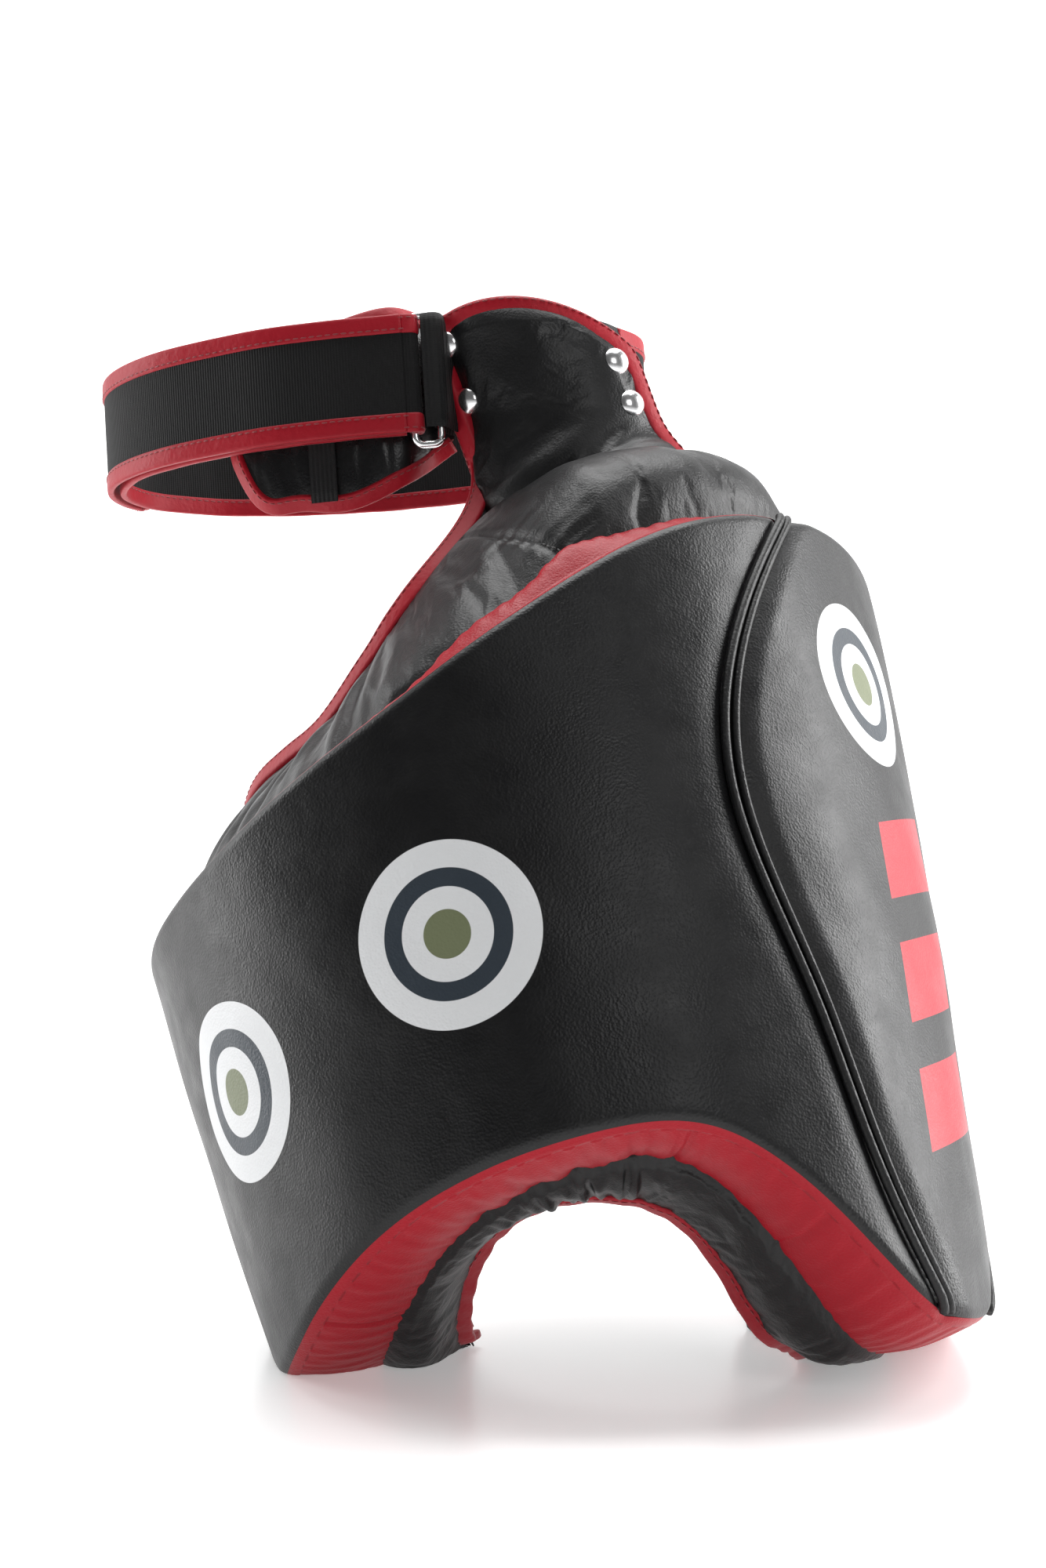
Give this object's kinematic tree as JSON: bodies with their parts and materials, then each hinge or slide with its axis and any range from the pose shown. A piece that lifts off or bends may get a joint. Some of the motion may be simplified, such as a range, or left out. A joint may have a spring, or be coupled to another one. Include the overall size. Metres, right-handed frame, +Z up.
{
  "type": "thigh kick pad",
  "caption": "Padded thigh guard for kick training: curved foam block with a cushioned inner side, red gussets, a riveted neck with a hip strap and rear straps.",
  "frame": {"origin": "middle of the pad's bounding box at floor height", "axes": "+Z up, -Y the front of the thigh, +X the outer side of the thigh"},
  "size_m": [0.4349, 0.3965, 0.4946],
  "materials": {
    "black_leather": "satin",
    "black_piping": "satin",
    "red_leather": "satin",
    "foam": "matte",
    "cushion_leather": "satin",
    "lining_cloth": "matte",
    "red_binding": "satin",
    "black_elastic": "matte",
    "black_webbing": "matte",
    "hook_and_loop": "matte",
    "chrome": "polished"
  },
  "bodies": {
    "pad": {"strike_panel_front": "black_leather", "outer_side_panel": "black_leather", "strike_panel_rear": "black_leather", "piping_front": "black_piping", "piping_rear": "black_piping", "gusset_arch": "red_leather", "gusset_top": "red_leather", "gusset_inner_end": "red_leather", "gusset_rear_end": "red_leather", "impact_foam_outer": "foam", "impact_foam_middle": "foam", "cushion_cover": "cushion_leather", "cushion_foam_1": "foam", "cushion_foam_2": "foam", "cushion_foam_3": "foam", "cushion_foam_4": "foam", "cushion_foam_5": "foam", "cushion_foam_6": "foam", "cushion_foam_7": "foam", "cushion_foam_8": "foam", "thigh_liner": "lining_cloth", "liner_binding": "red_binding", "neck_base": "cushion_leather", "loop_patch_upper": "hook_and_loop", "loop_patch_lower": "hook_and_loop"},
    "neck": {"neck_cover": "black_leather", "neck_foam": "foam", "neck_backing": "cushion_leather", "neck_binding": "red_binding", "rivet_caps": "chrome", "rivet_posts": "chrome", "strap_start_tab": "black_webbing", "strap_elastic": "black_elastic", "strap_binding_upper": "red_binding", "strap_binding_lower": "red_binding", "strap_loop_patch": "hook_and_loop", "ring_anchor": "black_webbing", "comfort_flap": "black_leather", "comfort_flap_binding": "red_binding", "flap_keeper": "black_webbing"},
    "ring": {"hip_ring": "chrome", "strap_fold": "black_webbing"},
    "free_end": {"strap_free_end": "black_elastic", "free_end_binding_upper": "red_binding", "free_end_binding_lower": "red_binding", "free_end_tip": "red_binding", "hook_patch": "hook_and_loop"},
    "rear_strap_lower": {"thigh_strap_lower": "black_elastic", "hook_tab_lower": "hook_and_loop"},
    "rear_strap_upper": {"thigh_strap_upper": "black_elastic", "hook_tab_upper": "hook_and_loop"}
  },
  "joints": [
    {"name": "neck_fold", "type": "hinge", "parent": "pad", "child": "neck", "pos_m": [0.03586, 0.01166, 0.41723], "axis": [0.9955, -0.0777, -0.0535], "range_deg": [-6, 16]},
    {"name": "hip_ring_pivot", "type": "hinge", "parent": "neck", "child": "ring", "pos_m": [-0.03531, 0.0052, 0.46029], "axis": [-0.066, 0.078, 0.9948], "range_deg": [0, 6]},
    {"name": "strap_free_end_peel", "type": "hinge", "parent": "ring", "child": "free_end", "pos_m": [-0.04778, 0.00489, 0.45948], "axis": [-0.066, 0.078, 0.9948], "range_deg": [0, 75]},
    {"name": "rear_strap_lower_open", "type": "hinge", "parent": "pad", "child": "rear_strap_lower", "pos_m": [-0.11077, 0.01422, 0.07875], "axis": [-0.2159, 0.4068, 0.8876], "range_deg": [0, 65]},
    {"name": "rear_strap_upper_open", "type": "hinge", "parent": "pad", "child": "rear_strap_upper", "pos_m": [-0.13738, 0.04916, 0.14864], "axis": [-0.2159, 0.4068, 0.8876], "range_deg": [0, 65]}
  ]
}
